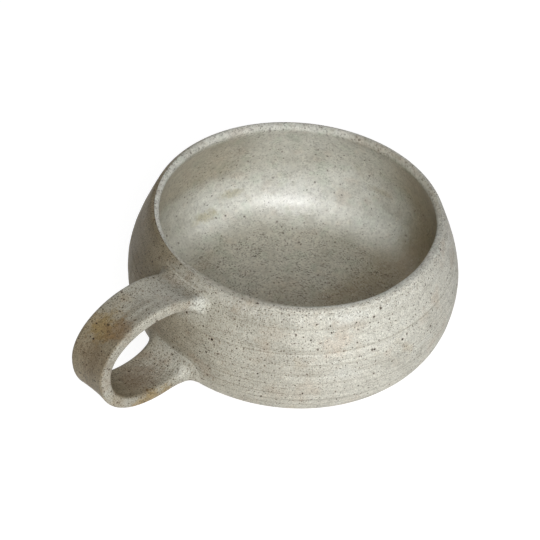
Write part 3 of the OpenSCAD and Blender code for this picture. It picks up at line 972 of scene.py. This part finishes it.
# Satin-matte stoneware glaze, dipped and fired in reduction. The eye sees a grey-beige ground with pale and
# pinkish clouds, ochre where the coat is thin, soft streaks along the turning lines and iron specks. Painted
# shade darkens the handle's side, and painted highlights sit on the handle's joints.
outsideLook = {
    "base": "#d6d5cb",
    # a thin coat and the painted shade share these two colours
    "thinCoatAndShade": "#afa897",
    "thinnestAndShadeWarmth": "#f8f1ea",
    "clouds": [  # colour, size in mm, from, to, amount, shift
        ("#aaa89d", 15.0, 0.46, 0.66, 0.36, 3.0),
        ("#dcddd5", 10.0, 0.52, 0.70, 0.5, 57.0),
        ("#c3b4a2", 12.0, 0.54, 0.72, 0.4, 91.0),
        ("#b7a37f", 13.0, 0.64, 0.78, 0.3, 133.0),
    ],
    "patches": [  # colour, middle, reach, amount
        ("#8a7446", (95.0, -2.0, 54.2), (9.0, 8.0, 6.5), 0.75),
        ("#7f6648", (93.0, 4.0, 55.3), (7.5, 6.0, 5.5), 0.65),
        ("#6b5842", (101.5, 2.0, 46.0), (6.0, 10.0, 9.0), 0.45),
        ("#6f5a44", (79.0, 1.0, 20.8), (14.0, 9.0, 3.5), 0.55),
        ("#9c8657", (83.0, 9.2, 18.0), (14.0, 3.0, 3.5), 0.75),
        ("#95805a", (97.0, 9.0, 27.0), (4.0, 3.0, 12.0), 0.35),
        # painted highlights on the glaze fillets at the upper and lower joints, where they face the key lamp
        ("#dfe2dc", (61.0, 11.0, 53.0), (4.5, 4.5, 4.0), 0.5),
        ("#d5d6cd", (66.5, 11.0, 20.5), (5.0, 4.5, 4.0), 0.45),
        ("#c4ad97", (32.0, 53.0, 46.0), (9.0, 7.0, 5.0), 0.3),
        ("#c5b09b", (47.0, 37.0, 50.0), (7.0, 6.0, 4.0), 0.15),
        ("#dddfd9", (25.0, 52.0, 55.5), (8.0, 6.0, 4.0), 0.5),
        ("#d8dad4", (30.0, 57.5, 34.0), (9.0, 7.0, 4.0), 0.4),
    ],
    "streak": {  # mm along and across, then colour, from, to, amount
        "size": (80.0, 0.8),
        "tints": [("#8f897c", 0.54, 0.72, 0.45), ("#e2e0d7", 0.46, 0.30, 0.45)],
    },
    "grooveTint": ("#918979", 0.35),
    "mottle": [(0.45, 0.74, 1.2, 11.0), (2.6, 0.95, 1.05, 23.0)],  # size in mm, dark, pale, shift
    "flecks": {
        "sparse": 0.55,
        "size": (0.8, 0.5),  # mm along and across
        "clusters": (5.0, 0.7, 1.3),  # size in mm, fewest, most
        "layers": [("#5d4f3c", 0.55, 0.72, 0.6)],
    },
    "lip": {
        "brown": "#8d7a62",
        "line": ((0.2, 0.9), (2.3, 1.4)),  # mm from the lip, where it starts and ends
        "amount": 0.2,
        "dull": 0.1,
        "drips": [("#e6e6df", 0.5, 0.68, 0.5), ("#94866f", 0.42, 0.28, 0.25)],
    },
    "specks": [  # cell and radius in mm, share of the cells where specks are few and where they crowd
        {"cell": 0.7, "share": (0.45, 0.85), "radius": (0.15, 0.28), "faint": 0.35, "shift": 0.0,
         "rings": [("#54452f", 1.0, 0.6, 0.9)]},
        {"cell": 1.2, "share": (0.5, 0.8), "radius": (0.18, 0.38), "faint": 0.3, "shift": 40.0,
         "rings": [("#8d7355", 1.7, 0.7, 0.25), ("#2b2118", 1.0, 0.7, 1.0)]},
        {"cell": 0.85, "share": (0.12, 0.75), "radius": (0.18, 0.33), "faint": 0.3, "shift": 60.0,
         "rings": [("#2f261b", 1.0, 0.6, 0.95)]},
        {"cell": 3.2, "share": (0.4, 0.75), "radius": (0.28, 0.57), "faint": 0.6, "shift": 80.0,
         "rings": [("#86694a", 1.8, 0.8, 0.4), ("#17120e", 1.0, 0.75, 1.0)]},
    ],
    "roughness": (0.48, 0.6),
    "ior": 1.5,
    "sheen": 0.2,  # fine crystals in the skin scatter much of the reflection
    "skinSize": 0.7,  # mm, as its depth
    "skinDepth": 0.012,
}
outsideGlaze = glaze("stoneware glaze satin-matte dipped", outsideLook)

# Liner glaze poured into the bowl. It is thicker and smoother than outside, so the eye sees a satin sheen,
# a paler ring in the heel, partly pooled glaze and partly a painted highlight, and finer, denser specks on
# the floor.
# Painted shade darkens parts of the walls and the floor.
linerLook = {
    "base": "#e5e5dc",
    # a thin coat and the painted shade share these two colours
    "thinCoatAndShade": "#bab5a8",
    "thinnestAndShadeWarmth": "#e5d4bc",
    "clouds": [
        ("#bdbbaf", 17.0, 0.46, 0.66, 0.4, 203.0),
        ("#e4e6df", 12.0, 0.52, 0.70, 0.5, 257.0),
        ("#d0d8c9", 7.0, 0.5, 0.7, 0.5, 271.0),
        ("#d8c6b4", 8.0, 0.52, 0.72, 0.25, 291.0),
    ],
    "patches": [
        ("#a49a66", (-19.0, -56.0, 21.5), (7.0, 3.5, 2.2), 0.42),
        ("#a49a66", (-5.0, -56.0, 16.5), (8.0, 3.5, 2.6), 0.5),
        ("#a8966a", (-59.5, -9.0, 31.0), (3.0, 7.0, 2.0), 0.3),
        # painted highlights: the key lamp's reflection in the heel band, and light on the band's right end
        ("#f3f3ee", (-41.5, -39.5, 19.5), (17.0, 17.0, 8.5), 0.65),
        ("#eceee6", (-58.0, -3.0, 20.0), (8.0, 13.0, 6.5), 0.5),
    ],
    "streak": {
        "size": (40.0, 1.6),
        "tints": [("#8f897c", 0.58, 0.78, 0.25), ("#d6d6cd", 0.44, 0.28, 0.25)],
    },
    "grooveTint": ("#9a9284", 0.12),
    "mottle": [(0.55, 0.95, 1.05, 15.0), (1.3, 0.92, 1.08, 19.0), (3.0, 0.92, 1.07, 27.0)],
    "flecks": {
        "sparse": 0.24,
        "size": (0.9, 0.8),
        "clusters": (4.0, 0.25, 1.75),
        "layers": [("#463c2d", 0.48, 0.68, 0.55), ("#d3d4ca", 0.46, 0.3, 0.3)],
    },
    "lip": {
        "brown": "#8d7a62",
        "line": ((-0.2, 0.5), (1.6, 0.7)),
        "amount": 0.3,
        "dull": 0.6,
        "drips": [("#d4d5ce", 0.55, 0.75, 0.2), ("#94866f", 0.42, 0.28, 0.2)],
    },
    "specks": [
        {"cell": 0.7, "share": (0.2, 0.4), "radius": (0.14, 0.32), "faint": 0.15, "shift": 120.0,
         "rings": [("#4d4130", 1.1, 0.3, 0.85)]},
        {"cell": 1.4, "share": (0.08, 0.48), "radius": (0.2, 0.6), "faint": 0.2, "shift": 160.0,
         "rings": [("#8a6d4d", 1.7, 0.5, 0.2), ("#3a2e20", 1.1, 0.4, 0.9)]},
    ],
    "roughness": (0.37, 0.45),
    "ior": 1.55,
    "sheen": 0.95,
    "skinSize": 0.9,
    "skinDepth": 0.008,
}
linerGlaze = glaze("stoneware liner glaze satin poured", linerLook)

# Buff stoneware clay, trimmed and fired bare. The eye sees a dry, warm surface with dark grog and specks.
clayLook = {
    "base": "#b59c7f",
    "clouds": [("#c4ac8e", 9.0, 0.45, 0.7, 0.6, 301.0), ("#9d8468", 14.0, 0.5, 0.72, 0.5, 331.0)],
    "grooveTint": ("#8f7659", 0.4, 0.95, 0.35),  # colour, from, to, amount
    "mottle": [(0.6, 0.9, 1.08, 37.0), (2.4, 0.95, 1.05, 47.0)],
    "specks": [
        {"cell": 1.0, "share": (0.5, 0.5), "radius": (0.14, 0.28), "faint": 0.4, "shift": 200.0,
         "rings": [("#5d452c", 1.0, 0.4, 0.8)]},
        {"cell": 2.2, "share": (0.45, 0.45), "radius": (0.25, 0.42), "faint": 0.4, "shift": 240.0,
         "rings": [("#7d5b3a", 1.6, 0.6, 0.4), ("#33261a", 1.0, 0.45, 0.9)]},
    ],
    "roughness": 0.88,
    # size in mm, shift and detail: real grit is about 0.2 mm, drawn coarser so that it shows
    "grain": (0.5, 7.0, 3.0),
    "grainDepth": 0.03,  # mm
}
stonewareClay, tree = newMaterial("stoneware clay trimmed bare")
place = placeInMm(tree)
colour = hexColour(clayLook["base"])
for code, size, low, high, amount, shift in clayLook["clouds"]:
    colour = tinted(tree, colour, code, cloud(tree, place, size, shift), low, high, amount)
worn = addNode(tree, "Attribute", attribute_name="groove").outputs["Fac"]
code, low, high, amount = clayLook["grooveTint"]
colour = tinted(tree, colour, code, worn, low, high, amount)
colour = mottled(tree, place, colour, clayLook["mottle"])
colour = specks(tree, place, colour, clayLook["specks"])
grit = cloud(tree, place, *clayLook["grain"])
bump = addNode(tree, "Bump", {"Height": grit, "Distance": clayLook["grainDepth"] * mm})
dry = {"Base Color": colour, "Roughness": clayLook["roughness"], "Normal": bump}
shader = addNode(tree, "BsdfPrincipled", dry)
addNode(tree, "OutputMaterial", {"Surface": shader})

outsideCoat.data.materials.append(outsideGlaze)
handleCoat.data.materials.append(outsideGlaze)
insideCoat.data.materials.append(linerGlaze)
bareBowl.data.materials.append(stonewareClay)
for name in ("strap_handle", "upper_joint", "lower_joint"):  # clay inside the handle's glaze
    frame["nodes"][name].data.materials.clear()
    frame["nodes"][name].data.materials.append(stonewareClay)
print("materials made")


def seenByCamera(tree, path):  # 1 where it shows straight, in a reflection or through glass
    seen = addNode(tree, "Math", {0: path["Is Camera Ray"], 1: path["Is Glossy Ray"]}, operation="MAXIMUM")
    return addNode(tree, "Math", {0: seen, 1: path["Is Transmission Ray"]}, operation="MAXIMUM")


# pale floor: it shows as white, keeps the shadow, and bounces light as a pale tabletop does
floorLook = {
    "size": 6.0,  # m
    "bounce": "#d8d4cc",
    "shade": "#9a9a9a",
    "show": (0.9, 1.0),  # whiter away from the mug
    "near": (0.2, 0.9),  # m
}
floorMesh = bpy.data.meshes.new("floor")
half = floorLook["size"] / 2
corners = [(-half, -half, 0), (half, -half, 0), (half, half, 0), (-half, half, 0)]
floorMesh.from_pydata(corners, [], [(0, 1, 2, 3)])
floor = bpy.data.objects.new("floor", floorMesh)
sceneObjects.link(floor)
floorMaterial, tree = newMaterial("pale painted floor")
path = addNode(tree, "LightPath").outputs
away = addNode(tree, "TexCoord").outputs["Object"]
away = addNode(tree, "VectorMath", {0: away}, operation="LENGTH").outputs["Value"]
near, far = floorLook["near"]
low, high = floorLook["show"]
show = {"Value": away, "From Min": near, "From Max": far, "To Min": low, "To Max": high}
glow = addNode(tree, "Emission", {"Strength": addNode(tree, "MapRange", show)})
shade = addNode(tree, "BsdfDiffuse", {"Color": hexColour(floorLook["shade"])})
white = addNode(tree, "AddShader", {0: glow, 1: shade})
bounce = addNode(tree, "BsdfDiffuse", {"Color": hexColour(floorLook["bounce"])})
top = addNode(tree, "MixShader", {0: seenByCamera(tree, path), 1: bounce, 2: white})
under = addNode(tree, "NewGeometry").outputs["Backfacing"]
through = addNode(tree, "Math", {0: under, 1: path["Is Shadow Ray"]}, operation="MAXIMUM")
both = addNode(tree, "MixShader", {0: through, 1: top, 2: addNode(tree, "BsdfTransparent")})
addNode(tree, "OutputMaterial", {"Surface": both})
floorMesh.materials.append(floorMaterial)

# soft studio light
worldLook = {"colour": "#ffffff", "fill": 0.02}
world = bpy.data.worlds.new("studio")
bpy.context.scene.world = world
world.use_nodes = True
tree = world.node_tree
tree.nodes.clear()
seen = seenByCamera(tree, addNode(tree, "LightPath").outputs)
level = addNode(tree, "MapRange", {"Value": seen, "To Min": worldLook["fill"]})
sky = addNode(tree, "Background", {"Color": hexColour(worldLook["colour"]), "Strength": level})
addNode(tree, "OutputWorld", {"Surface": sky})

softboxes = {  # azimuth and elevation in degrees, distance and size in m, power in W
    "key": (54.5, 33.0, 1.0, (0.72, 0.8), 10.5),
    "back": (228.0, 22.0, 1.1, (1.0, 0.7), 3.2),
    "under": (55.0, -58.0, 1.0, (0.8, 0.8), 2.0),
}
for name, (azimuth, elevation, distance, size, power) in softboxes.items():
    lamp = bpy.data.lights.new(name, "AREA")
    lamp.shape = "RECTANGLE"
    lamp.size, lamp.size_y = size
    lamp.energy = power
    softbox = bpy.data.objects.new(name, lamp)
    softbox.location = aim + fromMug(azimuth, elevation) * distance
    softbox.rotation_mode = "QUATERNION"
    softbox.rotation_quaternion = (aim - softbox.location).to_track_quat("-Z", "Y")
    softbox.visible_camera = False
    sceneObjects.link(softbox)
print("studio lit")

bpy.context.scene.view_settings.view_transform = "Standard"
